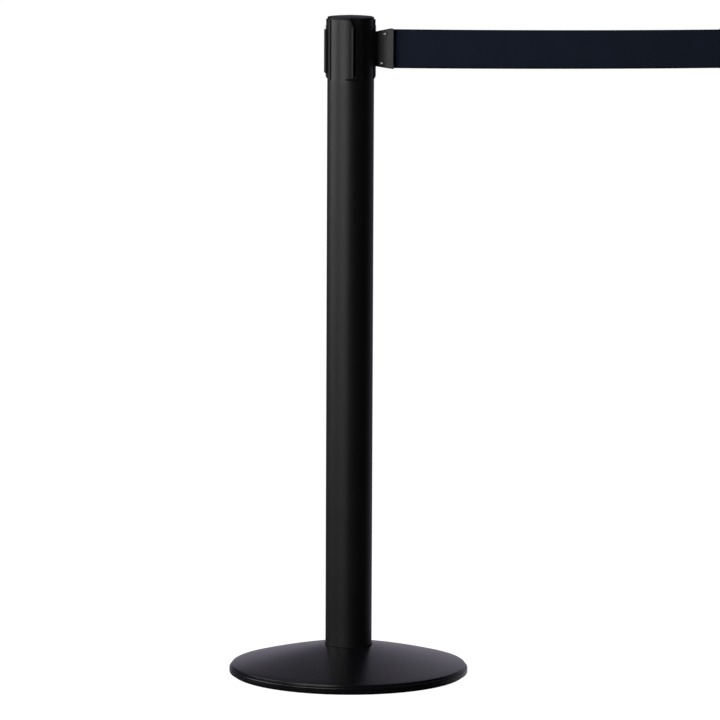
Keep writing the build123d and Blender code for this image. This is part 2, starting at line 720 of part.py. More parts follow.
def spring_cup():
    low = SPRING_CUP_LOW_Z
    body = ring(FLANGE_R, SPRING_CUP_HOLE_R, low, low + SPRING_CUP_T)
    return body + ring(FLANGE_R, FLANGE_R - SPRING_CUP_T, low, FLANGE_LOW_Z)


def spiral_edges(start_r, pitch):
    """Spiral of half-turn arcs whose centres swap sides of the axis."""
    edges = []
    radius = start_r
    x = start_r
    sign = 1
    for _ in range(2 * SPRING_TURNS):
        radius_next = radius + pitch / 2
        end_x = -sign * radius_next
        centre = (x + end_x) / 2
        reach = abs(x - end_x) / 2
        edges.append(ThreePointArc((x, 0, 0), (centre, sign * reach, 0), (end_x, 0, 0)))
        x = end_x
        radius = radius_next
        sign = -sign
    return edges


def reel_spring():
    """Flat power spring, coiled between the shaft and the cup's wall."""
    start_r = SHAFT_R + SPRING_IN_GAP
    end_r = FLANGE_R - SPRING_CUP_T - SPRING_IN_GAP - SPRING_T
    pitch = (end_r - start_r) / SPRING_TURNS
    inner = spiral_edges(start_r, pitch)
    outer = spiral_edges(start_r + SPRING_T, pitch)
    caps = [Line(inner[0] @ 0, outer[0] @ 0), Line(inner[-1] @ 1, outer[-1] @ 1)]
    low = SPRING_CUP_LOW_Z + SPRING_CUP_T + SPRING_END_GAP
    height = FLANGE_LOW_Z - SPRING_END_GAP - low
    return Pos(0, 0, low) * extrude(make_face(inner + outer + caps), height)


def belt_path():
    """Centre-line facts of the belt between the wound pack and the mouth."""
    pack_r = WOUND_R + BELT_T / 2
    turn_r = ROLLER_R + ROLLER_BELT_GAP + BELT_T / 2
    apart = math.hypot(ROLLER_X, ROLLER_Y)
    lean = math.atan2(ROLLER_Y, ROLLER_X) - math.acos((pack_r + turn_r) / apart)
    return pack_r, turn_r, lean


def belt_run():
    """Belt from the pack, round the roller, to the outside of the mouth."""
    pack_r, turn_r, lean = belt_path()
    side = (math.cos(lean), math.sin(lean))
    middle = math.pi + lean / 2
    rims = []
    for offset in (-BELT_T / 2, BELT_T / 2):
        leave = (side[0] * (pack_r + offset), side[1] * (pack_r + offset))
        radius = turn_r - offset
        meet = (ROLLER_X - side[0] * radius, ROLLER_Y - side[1] * radius)
        half_way = (ROLLER_X + radius * math.cos(middle), ROLLER_Y + radius * math.sin(middle))
        straight = (ROLLER_X - radius, ROLLER_Y)
        rims.append([
            Line(leave, meet),
            ThreePointArc(meet, half_way, straight),
            Line(straight, (ROLLER_X - radius, MOUTH_FACE_R)),
        ])
    caps = [Line(rims[0][0] @ 0, rims[1][0] @ 0), Line(rims[0][2] @ 1, rims[1][2] @ 1)]
    face = make_face(rims[0] + rims[1] + caps)
    return Pos(0, 0, BELT_LOW_Z) * extrude(face, BELT_W)


def build_cassette():
    add("cassette_base", cassette_plate(CASSETTE_Z, SHAFT_R))
    add("cassette_top", cassette_top())
    add("cassette_pillars", *cassette_pillars())
    add("cassette_screws", *cassette_screws())
    add("reel_shaft", reel_shaft())
    add("shaft_clip", shaft_clip())
    add("reel_drum", reel_drum())
    add("reel_flange_top", ring(FLANGE_R, BUSH_R, FLANGE_HIGH_Z, FLANGE_TOP_Z))
    add("reel_bushes", *reel_bushes())
    add("spring_cup", spring_cup())
    add("reel_spring", reel_spring())
    add("belt_wound", ring(WOUND_R, CORE_R, BELT_LOW_Z, BELT_HIGH_Z))
    add("belt_anchor_pin", anchor_pin())
    add("belt_run", belt_run())


# ---------------------------------------------------------------- belt clips

def clip_plan():
    """Half of the clip seen from above: head, neck and hollow flare, on the +Y side."""
    flare_x = BOSS_R + CLIP_FLARE_START
    neck = CLIP_NECK_T / 2
    end = CLIP_END_T / 2
    middle = ((flare_x + CLIP_END_R) / 2, (neck + end) / 2 - CLIP_FLARE_SAG)
    points = [
        (CLIP_END_R, end),
        (CLIP_END_R, 0),
        (CLIP_HEAD_IN_R, 0),
        (CLIP_HEAD_IN_R, CLIP_HEAD_W / 2),
        (CLIP_HEAD_OUT_R, CLIP_HEAD_W / 2),
        (CLIP_HEAD_OUT_R, neck),
        (flare_x, neck),
    ]
    flare = ThreePointArc((flare_x, neck), middle, (CLIP_END_R, end))
    return make_face([Polyline(*points), flare])


def clip_side():
    """The clip seen from the side: tall head, shorter neck, body widening to the belt."""
    body_x = BOSS_R + CLIP_FLARE_START / 2
    neck = CLIP_NECK_H / 2
    end = CLIP_END_H / 2
    bulge = ((body_x + CLIP_END_R) / 2, (neck + end) / 2 + CLIP_BULGE)
    head_low = CLIP_HEAD_LOW - BELT_MID_Z
    head_high = CLIP_HEAD_HIGH - BELT_MID_Z
    head = Pos((CLIP_HEAD_IN_R + CLIP_HEAD_OUT_R) / 2, (head_low + head_high) / 2)
    outline = [
        Line((CLIP_HEAD_IN_R, -neck), (CLIP_HEAD_IN_R, neck)),
        Line((CLIP_HEAD_IN_R, neck), (body_x, neck)),
        ThreePointArc((body_x, neck), bulge, (CLIP_END_R, end)),
        Line((CLIP_END_R, end), (CLIP_END_R, -end)),
        ThreePointArc((CLIP_END_R, -end), (bulge[0], -bulge[1]), (body_x, -neck)),
        Line((body_x, -neck), (CLIP_HEAD_IN_R, -neck)),
    ]
    return make_face(outline) + head * Rectangle(CLIP_HEAD_T, CLIP_HEAD_H)


def rivet_places():
    top = (BOSS_R + RIVET_TOP_FROM_NECK, BELT_W / 2 - RIVET_TOP_FROM_EDGE)
    low = (BOSS_R + RIVET_LOW_FROM_NECK, RIVET_LOW_FROM_EDGE - BELT_W / 2)
    return [top, low]


def level_rod(radius, x, z, low_y, high_y):
    """Rod along Y, placed in the clip's own frame."""
    return Pos(x, (low_y + high_y) / 2, z) * Rot(90, 0, 0) * Cylinder(radius, high_y - low_y)


def clip_half():
    """Moulded half on the +Y side, about the belt's middle height."""
    tall = Pos(0, 0, -CLIP_HEAD_H) * extrude(clip_plan(), 2 * CLIP_HEAD_H)
    wide = Rot(90, 0, 0) * Pos(0, 0, -CLIP_END_T) * extrude(clip_side(), 2 * CLIP_END_T)
    body = tall & wide
    slot = CLIP_SLOT_T / 2
    body -= block(PIN_X, CLIP_END_R + CUT_MARGIN, -slot, slot, -CLIP_END_H, CLIP_END_H)
    body -= disc(CLIP_POCKET_R, -CLIP_END_H, CLIP_END_H, PIN_X, 0)
    for x, z in rivet_places():
        body -= level_rod(RIVET_R, x, z, -CUT_MARGIN, CLIP_END_T)
        body -= level_rod(RIVET_HEAD_R + RIVET_SEAT_FIT, x, z, RIVET_SEAT_Y, CLIP_END_T)
    end_face = body.faces().filter_by(Axis.X).sort_by(Axis.X)[-1]
    rim = end_face.edges().filter_by(Axis.Z).group_by(Axis.Y)[-1]
    return fillet(rim, CLIP_CORNER_R)


def clip_rivet(x, z):
    body = level_rod(RIVET_R, x, z, -RIVET_SEAT_Y, RIVET_SEAT_Y)
    for side in (-1, 1):
        low, high = sorted((side * RIVET_SEAT_Y, side * (RIVET_SEAT_Y + RIVET_HEAD_H)))
        body += level_rod(RIVET_HEAD_R, x, z, low, high)
    rims = body.edges().filter_by(GeomType.CIRCLE).group_by(Axis.Y)
    return fillet(rims[0] + rims[-1], RIVET_HEAD_H / 2)


def hem_pin():
    half = BELT_W / 2 - CLIP_CORNER_R
    return disc(PIN_R, -half, half, PIN_X, 0)


def add_clip(prefix, place):
    """The four pieces of one belt end clip, put in place together."""
    half = clip_half()
    other = half.mirror(Plane.XZ)
    add(prefix + "_front", place * other)
    add(prefix + "_back", place * half)
    add(prefix + "_rivets", *[place * clip_rivet(x, z) for x, z in rivet_places()])
    add(prefix + "_pin", place * hem_pin())


def hem_loop():
    """Belt folded round the hem pin and back to the clip's end, in the clip's own frame."""
    half = BELT_W / 2
    return ring(HEM_R + BELT_T, HEM_R, -half, half, PIN_X, 0)


def near_place():
    return Pos(0, 0, BELT_MID_Z)


def far_place():
    return Pos(2 * CLIP_END_R + LINK_LENGTH, 0, BELT_MID_Z - LINK_DROP) * Rot(0, 0, 180)


def own_place():
    return Pos(0, OWN_CLIP_Y + CLIP_END_R, BELT_MID_Z) * Rot(0, 0, REAR + 180)


def belt_end():
    """Straight belt from the hem loop to the clip's end, in the clip's own frame."""
    start = PIN_X + HEM_R + BELT_T / 2
    slab = block(start, CLIP_END_R, -BELT_T / 2, BELT_T / 2, -BELT_W / 2, BELT_W / 2)
    return hem_loop() + slab


def link_webbing():
    """Belt between the two clips, hanging in a very shallow curve."""
    far_x = CLIP_END_R + LINK_LENGTH
    middle_x = CLIP_END_R + LINK_LENGTH / 2
    edges = []
    for side in (-1, 1):
        level = BELT_MID_Z + side * BELT_W / 2
        start = (CLIP_END_R, 0, level)
        middle = (middle_x, 0, level - LINK_DROP / 2 - LINK_SAG)
        edges.append(ThreePointArc(start, middle, (far_x, 0, level - LINK_DROP)))
    caps = [Line(edges[0] @ end, edges[1] @ end) for end in (0, 1)]
    span = extrude(make_face(edges + caps), BELT_T / 2, dir=(0, 1, 0), both=True)
    return near_place() * belt_end() + span + far_place() * belt_end()


def receiver_blank():
    """Slide-in cover for an unused receiver, built along +X and turned to the left."""
    neck = CLIP_NECK_T / 2
    out = BOSS_R + RECEIVER_RIB_H + BLANK_PLATE_GAP
    head = CLIP_HEAD_W / 2
    body = block(CLIP_HEAD_IN_R, CLIP_HEAD_OUT_R, -head, head, CLIP_HEAD_LOW, CLIP_HEAD_HIGH)
    body += block(CLIP_HEAD_OUT_R, out, -neck, neck, CLIP_HEAD_LOW, CLIP_HEAD_HIGH)
    half = BLANK_PLATE_W / 2
    low = CLIP_HEAD_LOW + BLANK_PLATE_LIFT
    high = CLIP_HEAD_HIGH + BLANK_PLATE_RISE
    plate = block(out, out + BLANK_PLATE_T, -half, half, low, high)
    outer = plate.edges().filter_by(Axis.Z).group_by(Axis.X)[-1]
    return Rot(0, 0, LEFT) * (body + fillet(outer, BLANK_PLATE_T / 2))


def build_belts():
    add_clip("own_clip", own_place())
    stretch_low = MOUTH_FACE_R
    stretch = block(-BELT_T / 2, BELT_T / 2, stretch_low, OWN_CLIP_Y, BELT_LOW_Z, BELT_HIGH_Z)
    add("belt_stretch", stretch + own_place() * belt_end())
    add_clip("link_near_clip", near_place())
    add_clip("link_far_clip", far_place())
    add("link_webbing", link_webbing())
    add("receiver_blank", receiver_blank())


build_base()
build_tube()
build_head()
build_cassette()
build_belts()

os.makedirs("parts", exist_ok=True)
for name, shape in nodes.items():
    export_step(shape, "parts/" + name + ".step")
print(len(nodes), "nodes written")
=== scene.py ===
# %% [markdown]
# # Dressing a belt post
#
# A queue post is mostly three surfaces: a powder-coated tube and base, moulded black plastic
# at the head, and woven belt. Its shapes already exist as an engineer's model, the frame.
# This lesson gives each surface a finish built from shader nodes, and models with bmesh the
# pieces whose fine shape an engineer leaves out: the rolled rim, the webbing, the rivets.
# Everything is in metres. The post stands at the origin and the belt runs along +X.

# %% Load the frame
import json
import math

import bmesh
import bpy
from mathutils import Matrix, Vector


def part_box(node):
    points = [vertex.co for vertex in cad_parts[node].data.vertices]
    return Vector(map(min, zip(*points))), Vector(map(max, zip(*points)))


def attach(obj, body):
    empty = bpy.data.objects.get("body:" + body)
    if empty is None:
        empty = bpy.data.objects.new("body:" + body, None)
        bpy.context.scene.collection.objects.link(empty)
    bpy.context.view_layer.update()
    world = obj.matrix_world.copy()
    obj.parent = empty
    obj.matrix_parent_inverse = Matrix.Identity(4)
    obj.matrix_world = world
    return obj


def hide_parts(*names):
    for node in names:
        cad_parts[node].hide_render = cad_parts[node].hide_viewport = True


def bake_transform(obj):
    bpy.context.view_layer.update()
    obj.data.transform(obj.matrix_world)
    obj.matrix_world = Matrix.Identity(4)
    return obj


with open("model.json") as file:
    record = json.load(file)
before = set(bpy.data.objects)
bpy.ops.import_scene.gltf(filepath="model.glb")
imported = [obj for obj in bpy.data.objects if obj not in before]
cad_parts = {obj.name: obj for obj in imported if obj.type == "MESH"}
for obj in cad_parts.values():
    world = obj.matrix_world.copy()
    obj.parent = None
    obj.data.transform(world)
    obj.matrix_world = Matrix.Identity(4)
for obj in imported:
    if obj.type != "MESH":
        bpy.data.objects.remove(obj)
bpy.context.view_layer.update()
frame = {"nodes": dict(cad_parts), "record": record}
nodes = frame["nodes"]
MM = 0.001
print("frame loaded:", len(nodes), "nodes")


# %% [markdown]
# ## The camera
#
# The post is seen from a little above and a little to the left of the empty front slot, with
# a long lens, so its sides stay almost parallel. A long lens far away suits a tall, slim thing:
# the round base turns into a thin ellipse, and nothing near the edges of the view bulges.

# %% Camera
CAMERA_AZIMUTH = math.radians(-10.0)
CAMERA_DISTANCE = 7.765
CAMERA_HEIGHT = 1.490
CAMERA_PITCH = math.radians(7.775)
CAMERA_YAW = math.radians(0.104)
CAMERA_ROLL = math.radians(0.24)
CAMERA_LENS = 289.9
CLIP_END = 60.0


def add_camera():
    lens = bpy.data.cameras.new("camera")
    lens.lens = CAMERA_LENS
    lens.clip_end = CLIP_END
    camera = bpy.data.objects.new("camera", lens)
    bpy.context.scene.collection.objects.link(camera)
    place = Matrix.Translation((0, -CAMERA_DISTANCE, CAMERA_HEIGHT))
    place = place @ Matrix.Rotation(-CAMERA_YAW, 4, "Z")
    place = place @ Matrix.Rotation(math.pi / 2 - CAMERA_PITCH, 4, "X")
    place = place @ Matrix.Rotation(CAMERA_ROLL, 4, "Z")
    camera.matrix_world = Matrix.Rotation(CAMERA_AZIMUTH, 4, "Z") @ place
    bpy.context.scene.camera = camera
    return camera


camera = add_camera()
print("camera at", [round(v, 3) for v in camera.matrix_world.translation])


# %% [markdown]
# ## Light
#
# Black powder coat shows only what it reflects. Two large softboxes side by side, from the left
# round to the front, draw the broad pale band down the tube. They hang above the tube's middle,
# so the band fades towards the floor. Nothing stands on the right, and that side is nearly black.

# %% Softboxes
SOFTBOX_DISTANCE = 2.6
SOFTBOX_HEIGHT = 1.22
SOFTBOX_SIZE = (2.1, 1.8)
SOFTBOX_AIM = Vector((0, 0, 0.75))
SOFTBOXES = {"side_box": (-92, 29), "front_box": (-35, 33)}


def around(azimuth, distance, height):
    """A point seen from the post: 0 degrees is towards the camera, 90 to its right."""
    turn = math.radians(azimuth) + CAMERA_AZIMUTH
    return (distance * math.sin(turn), -distance * math.cos(turn), height)


def add_softbox(name, place, watts):
    """Rectangular area light that faces the middle of the post."""
    light = bpy.data.lights.new(name, "AREA")
    light.shape = "RECTANGLE"
    light.size, light.size_y = SOFTBOX_SIZE
    light.energy = watts
    box = bpy.data.objects.new(name, light)
    box.location = place
    aim = SOFTBOX_AIM - Vector(place)
    box.rotation_euler = aim.to_track_quat("-Z", "Y").to_euler()
    bpy.context.scene.collection.objects.link(box)


for name, (azimuth, watts) in SOFTBOXES.items():
    add_softbox(name, around(azimuth, SOFTBOX_DISTANCE, SOFTBOX_HEIGHT), watts)
print("softboxes:", len(bpy.data.lights))


# %% [markdown]
# ## Shader maths that reads like maths
#
# A finish is a node tree, and a tree written node by node hides its idea. A small class that
# wraps a socket lets Python's own operators add the Math nodes, so that a line such as
# `0.4 + 0.1 * grain` is a line of the finish. All other nodes come from one method.

# %% Signal and Nodes
class Signal:
    """A number that varies from place to place."""

    def __init__(self, nodes, socket):
        self.nodes = nodes
        self.socket = socket

    def math(self, operation, *values):
        sockets = dict(enumerate(values))
        made = self.nodes.node("ShaderNodeMath", {"operation": operation}, sockets)
        return Signal(self.nodes, made.outputs[0])

    def __add__(self, other):
        return self.math("ADD", self, other)

    def __sub__(self, other):
        return self.math("SUBTRACT", self, other)

    def __rsub__(self, other):
        return self.math("SUBTRACT", other, self)

    def __mul__(self, other):
        return self.math("MULTIPLY", self, other)

    __radd__ = __add__
    __rmul__ = __mul__

    def size(self):
        return self.math("ABSOLUTE", self)

    def wave(self):
        return self.math("SINE", self)

    def root(self):
        return self.math("POWER", self, 0.5)

    def above(self, low, high):
        """0 below low, 1 above high, and smooth between them."""
        made = self.nodes.node(
            "ShaderNodeMapRange",
            {"interpolation_type": "SMOOTHSTEP"},
            {"Value": self, "From Min": low, "From Max": high},
        )
        return Signal(self.nodes, made.outputs["Result"])


class Nodes:
    """A node tree that is written line by line."""

    def __init__(self, tree):
        self.tree = tree

    def node(self, kind, settings, sockets):
        """A node whose settings are made first, and then the values or links of its sockets."""
        made = self.tree.nodes.new(kind)
        for setting, value in settings.items():
            setattr(made, setting, value)
        for socket, value in sockets.items():
            self.feed(made.inputs[socket], value)
        return made

    def feed(self, socket, value):
        """Set or link one socket; a colour is given without its alpha."""
        if isinstance(value, Signal):
            value = value.socket
        if isinstance(value, bpy.types.NodeSocket):
            self.tree.links.new(value, socket)
        elif socket.type == "RGBA":
            socket.default_value = (*value, 1)
        else:
            socket.default_value = value

    def axis(self, letter, place):
        split = self.node("ShaderNodeSeparateXYZ", {}, {"Vector": place})
        return Signal(self, split.outputs[letter])

    def mixed(self, share, first, second):
        """Colour between two colours: the first at share 0, the second at share 1."""
        sockets = {0: share, 6: first, 7: second}
        return self.node("ShaderNodeMix", {"data_type": "RGBA"}, sockets).outputs[2]


class Finish(Nodes):
    """One material: its Principled shader and the nodes that feed it."""

    def __init__(self, name, **constants):
        self.material = bpy.data.materials.new(name)
        self.material.use_nodes = True
        super().__init__(self.material.node_tree)
        self.shader = self.tree.nodes["Principled BSDF"]
        for socket, value in constants.items():
            self.shader.inputs[socket.replace("_", " ")].default_value = value
        place = self.node("ShaderNodeTexCoord", {}, {})
        self.object_place = place.outputs["Object"]
        self.cloth_place = place.outputs["UV"]

    def noise(self, per_m, detail=2.0, stretch=None):
        """Fractal noise with per_m features to the metre; stretch scales it by axis."""
        spot = self.object_place
        if stretch:
            spot = self.node("ShaderNodeMapping", {}, {"Vector": spot, "Scale": stretch}).outputs[0]
        sockets = {"Vector": spot, "Scale": per_m, "Detail": detail}
        return Signal(self, self.node("ShaderNodeTexNoise", {}, sockets).outputs["Fac"])

    def at(self, letter):
        return self.axis(letter, self.object_place)

    def colour(self, share, first, second):
        self.feed(self.shader.inputs["Base Color"], self.mixed(share, first, second))

    def rough(self, value):
        self.feed(self.shader.inputs["Roughness"], value)

    def bump(self, height, distance, strength=1.0):
        """Relief in metres, from a height between 0 and 1."""
        sockets = {"Height": height, "Distance": distance, "Strength": strength}
        made = self.node("ShaderNodeBump", {}, sockets)
        self.feed(self.shader.inputs["Normal"], made.outputs["Normal"])


def tinted(colour, factor):
    return tuple(factor * part for part in colour)


print("finishes can be written")


# %% [markdown]
# ## The room around the post
#
# The world is the last light. Straight behind the post stands a dim curtain over a pale floor.
# The dome of the base, seen at a flat angle, mirrors both: its rear edge shows the floor, and
# the rest fades forwards as the curtain does upwards. The curtain is brighter to the right and
# narrow, so the tube's own sides stay dark. Camera rays see plain white instead.

# %% World
FLOOR_GLOW = (1.10, 1.03, 1.26)
CURTAIN_GLOW = (0.340, 0.320, 0.390)
ROOM_GLOW = (0.018, 0.018, 0.020)
PAPER_WHITE = (1.0, 1.0, 1.0)
FLOOR_EDGE = (-0.34, -0.15)
CURTAIN_FADE = (0.0, 0.5)
CURTAIN_SIDES = (0.12, 0.45)
BRIGHT_SIDE = (0.0, 0.3)
REAR = (0.1, 0.9)


def add_world():
    world = bpy.data.worlds.new("studio")
    bpy.context.scene.world = world
    world.use_nodes = True
    room = Nodes(world.node_tree)
    room.tree.nodes.clear()
    place = room.node("ShaderNodeTexCoord", {}, {}).outputs["Generated"]
    turned = {"Vector": place, "Rotation": (0, 0, -CAMERA_AZIMUTH)}
    seen_from_camera = room.node("ShaderNodeMapping", {}, turned).outputs[0]
    behind = room.axis("Y", seen_from_camera).above(*REAR)
    right = room.axis("X", seen_from_camera)
    height = room.axis("Z", seen_from_camera)
    backdrop = room.mixed(height.above(*FLOOR_EDGE), FLOOR_GLOW, CURTAIN_GLOW)
    narrow = 1 - 0.9 * right.size().above(*CURTAIN_SIDES)
    low = 1 - 0.65 * height.above(*CURTAIN_FADE)
    share = behind * (1.2 + 5.5 * right.above(*BRIGHT_SIDE)) * narrow * low
    glow = room.mixed(share, ROOM_GLOW, backdrop)
    lit = room.node("ShaderNodeBackground", {}, {"Color": glow})
    paper = room.node("ShaderNodeBackground", {}, {"Color": PAPER_WHITE})
    seen = room.node("ShaderNodeLightPath", {}, {}).outputs["Is Camera Ray"]
    pick = room.node("ShaderNodeMixShader", {}, {0: seen, 1: lit.outputs[0], 2: paper.outputs[0]})
    room.node("ShaderNodeOutputWorld", {}, {"Surface": pick.outputs[0]})


add_world()
bpy.context.scene.view_settings.view_transform = "Standard"
print("room ready")


# %% [markdown]
# ## Powder coat
#
# Powder coat is a melted skin of plastic on steel. It is never quite flat: it has a fine
# orange peel about a millimetre across, and its gloss drifts a little from place to place.
# Near the rim of the base the coat is lighter in grey patches: partly scuffs from shoes and
# trolleys, partly a painted highlight along the rolled rim.

# %% Powder coat
PEEL_PER_M = 900
SCUFF_AND_RIM_LIGHT_TOP = 12 * MM


def powder_coat(name, gloss_low, gloss_high, tint, scuffed_and_rim_lit):
    finish = Finish(name, Specular_IOR_Level=0.5)
    peel = finish.noise(PEEL_PER_M, 3.0)
    grit = finish.noise(PEEL_PER_M * 3.2, 2.0)
    drift = finish.noise(14, 3.0)
    tone_wear_and_rim_light = 0.8 * drift
    if scuffed_and_rim_lit:
        # lighter patches near the rim: partly scuffs, partly a painted highlight on the rim
        near_rim = 1 - finish.at("Z").above(SCUFF_AND_RIM_LIGHT_TOP * 0.5, SCUFF_AND_RIM_LIGHT_TOP)
        marks = finish.noise(60, 6.0, stretch=(1, 1, 3)).above(0.56, 0.72)
        tone_wear_and_rim_light = tone_wear_and_rim_light + 0.9 * near_rim * marks
    finish.colour(tone_wear_and_rim_light, tinted(tint, 0.7), tinted(tint, 1.3))
    finish.rough(gloss_low + (gloss_high - gloss_low) * drift + 0.05 * grit)
    finish.bump(0.7 * peel + 0.3 * grit, 0.00012)
    return finish.material


tube_coat = powder_coat("powder_coat_tube", 0.36, 0.46, (0.0075, 0.0072, 0.0072), False)
base_coat = powder_coat("powder_coat_base", 0.15, 0.22, (0.0085, 0.0080, 0.0100), True)
print("powder coats:", tube_coat.name, base_coat.name)


# %% [markdown]
# ## Moulded plastic
#
# The mould for the head is spark eroded, which prints a very fine even grain. The belt clip
# is a paler, harder plastic with mineral filler, so it is slightly speckled and catches more
# light. Both use the same recipe with different grain, gloss and speckle.

# %% Moulded plastic
def moulded(name, tint, gloss, grain_per_m, speckle, relief=0.00005):
    finish = Finish(name, Specular_IOR_Level=0.5)
    grain = finish.noise(grain_per_m, 2.0)
    cloud = finish.noise(35, 3.0)
    flecks = finish.noise(grain_per_m * 0.55, 1.0).above(0.54, 0.66)
    finish.colour(0.4 * cloud + speckle * flecks, tinted(tint, 0.75), tinted(tint, 1.8))
    finish.rough(gloss + 0.10 * grain - 0.06 * cloud)
    finish.bump(grain, relief)
    return finish.material


head_plastic = moulded("head_plastic", (0.0080, 0.0080, 0.0080), 0.36, 2600, 0.1)
lid_plastic = moulded("lid_plastic", (0.0060, 0.0060, 0.0062), 0.52, 2200, 0.1, 0.0001)
blank_plastic = moulded("blank_plastic", (0.0040, 0.0040, 0.0042), 0.55, 2200, 0.1)
clip_plastic = moulded("clip_plastic", (0.032, 0.032, 0.032), 0.40, 1300, 0.8, 0.0001)
reel_plastic = moulded("reel_plastic", (0.50, 0.48, 0.43), 0.35, 1500, 0.0)
print("plastics:", head_plastic.name, clip_plastic.name, reel_plastic.name)


# %% [markdown]
# ## Webbing
#
# Belt webbing is woven flat: fine lengthways threads over thicker crossways ones, so it shows
# narrow ribs across the belt and a tighter edge, the selvedge. The ribs are relief, and the hollows
# between threads are darkened as painted shade. The pattern has to follow the belt and not the
# room, so it reads the belt's own UV map, which is laid out in metres.

# %% Webbing
RIB_PITCH = 1.3 * MM
THREAD_PITCH = 0.75 * MM
BELT_WIDTH = 52.5 * MM
SELVEDGE = 1.6 * MM


def weave(finish, along, across):
    """Cloth colour and relief from the distances along the belt and up from its lower edge."""
    ribs = (along * (math.tau / RIB_PITCH)).wave().size()
    threads = (across * (math.pi / THREAD_PITCH)).wave().size()
    off_centre = (across - BELT_WIDTH / 2).size()
    edge = off_centre.above(BELT_WIDTH / 2 - SELVEDGE, BELT_WIDTH / 2)
    fuzz = finish.noise(4000, 2.0)
    drift = finish.noise(30, 2.0)
    relief = (0.55 * ribs + 0.45 * threads) * (1 - 0.6 * edge)
    # colour: random tone and a darker selvedge, plus painted shade where the relief is low, in the
    # hollows between threads
    shade = 0.35 * relief + 0.35 * drift + 0.2 * fuzz - 0.5 * edge
    finish.colour(shade, (0.0096, 0.0140, 0.0270), (0.0300, 0.0450, 0.0880))
    finish.rough(0.62 + 0.2 * fuzz)
    finish.bump(relief + 0.25 * fuzz, 0.00012, 0.8)
    return finish.material


def webbing(name):
    return Finish(name, Sheen_Weight=0.12, Sheen_Roughness=0.4, Specular_IOR_Level=0.25)


flat_cloth = webbing("webbing")
belt_cloth = weave(
    flat_cloth,
    flat_cloth.axis("X", flat_cloth.cloth_place),
    flat_cloth.axis("Y", flat_cloth.cloth_place),
)
print("webbing:", belt_cloth.name)


# %% [markdown]
# ## Belt inside the head
#
# The wound pack shows its turns as fine rings on its ends, because each turn is half a millimetre
# of cloth; each ring is relief, darkened in the groove between turns as painted shade. Rings about
# the reel need no UV map: the distance from the post's axis gives them. The short run through the
# mouth takes its pattern from height and depth.

# %% Hidden webbing
BELT_THICKNESS = 0.5 * MM
belt_low_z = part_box("belt_run")[0].z


def wound_webbing():
    finish = webbing("webbing_wound")
    radius = (finish.at("X") * finish.at("X") + finish.at("Y") * finish.at("Y")).root()
    turns = (radius * (math.pi / BELT_THICKNESS)).wave().size()
    # dark in the groove between turns: painted shade
    finish.colour(turns, (0.0020, 0.0028, 0.0050), (0.0120, 0.0170, 0.0300))
    finish.rough(0.7 + 0.15 * finish.noise(3000))
    finish.bump(turns, 0.0002, 0.7)
    return finish.material


wound_cloth = wound_webbing()
run = webbing("webbing_run")
run_cloth = weave(run, run.at("Y"), run.at("Z") - belt_low_z)
print("hidden webbing:", wound_cloth.name, run_cloth.name)


# %% [markdown]
# ## Rubber and metals
#
# The small parts are mostly hidden, but each still has the surface of its making: sand-cast
# iron, zinc plate with its faint cloudiness, turned bronze, blued spring strip. One recipe
# for metals takes a colour, a roughness and how far the tool marks are drawn out.

# %% Rubber and metals
MARKS_PER_M = 900


def rubber():
    finish = Finish("rubber", Specular_IOR_Level=0.3)
    dust = finish.noise(220, 4.0)
    finish.colour(dust.above(0.45, 0.8), (0.006, 0.006, 0.006), (0.020, 0.020, 0.019))
    finish.rough(0.68 + 0.15 * dust)
    finish.bump(finish.noise(1800, 2.0), 0.00008)
    return finish.material


def metal(name, tint, gloss, stretch=(1, 1, 1), relief=0.00002):
    finish = Finish(name, Metallic=1.0)
    marks = finish.noise(MARKS_PER_M, 3.0, stretch=stretch)
    cloud = finish.noise(60, 3.0)
    finish.colour(0.6 * cloud + 0.4 * marks, tinted(tint, 0.75), tint)
    finish.rough(gloss + 0.18 * cloud + 0.08 * marks)
    finish.bump(marks, relief)
    return finish.material


def cast_iron():
    finish = Finish("cast_iron", Metallic=0.35)
    sand = finish.noise(700, 4.0)
    rust = finish.noise(35, 5.0).above(0.52, 0.75)
    finish.colour(rust, (0.055, 0.055, 0.058), (0.10, 0.055, 0.035))
    finish.rough(0.62 + 0.25 * sand)
    finish.bump(sand, 0.0006)
    return finish.material


soft_rubber = rubber()
iron = cast_iron()
zinc = metal("zinc_plate", (0.62, 0.63, 0.64), 0.28)
nickel = metal("nickel_plate", (0.95, 0.94, 0.92), 0.26)
black_oxide = metal("black_oxide", (0.045, 0.045, 0.05), 0.36)
bronze = metal("bush_bronze", (0.66, 0.43, 0.20), 0.34, relief=0.00005)
spring_steel = metal("spring_steel", (0.20, 0.24, 0.36), 0.25, stretch=(1, 1, 12))
alloy = metal("plug_alloy", (0.75, 0.75, 0.77), 0.32, stretch=(1, 1, 20))
print("metals:", zinc.name, nickel.name, black_oxide.name, bronze.name, alloy.name)


# %% [markdown]
# ## Giving each frame node its finish
#
# The record names a material slot for every node, which is a maker's parts list in short.
# A table from slot to finish dresses the whole frame at once, and the two powder-coated
# pieces, which differ slightly in gloss, are set by name.

# %% Dress the frame
SLOT_FINISH = {
    "powder_coat": tube_coat,
    "head_plastic": head_plastic,
    "clip_plastic": clip_plastic,
    "reel_plastic": reel_plastic,
    "webbing": belt_cloth,
    "rubber": soft_rubber,
    "cast_iron": iron,
    "zinc_steel": zinc,
    "rivet_steel": nickel,
    "black_screw": black_oxide,
    "bush_bronze": bronze,
    "spring_steel": spring_steel,
    "plug_alloy": alloy,
}


def dress(part, finish):
    part.data.materials.clear()
    part.data.materials.append(finish)


